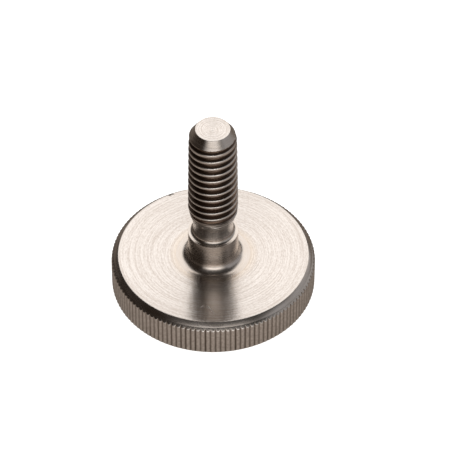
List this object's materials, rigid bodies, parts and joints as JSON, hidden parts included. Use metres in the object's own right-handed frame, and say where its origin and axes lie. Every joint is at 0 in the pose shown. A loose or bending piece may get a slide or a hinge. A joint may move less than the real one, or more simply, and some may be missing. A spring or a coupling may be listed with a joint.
{
  "type": "knurled thumb screw",
  "caption": "Stainless steel thumb screw with a low flat head, a straight-knurled rim, a plain shoulder, a relieved neck and a metric threaded stud.",
  "frame": {"origin": "centre of the head's outer face, on which the screw stands", "axes": "+Z along the screw's axis, from the head towards the point of the stud"},
  "size_m": [0.024, 0.024, 0.025],
  "materials": {
    "turned_stainless": "fine-turned satin stainless steel"
  },
  "bodies": {
    "root": {"thumb_screw": "turned_stainless"}
  },
  "joints": []
}
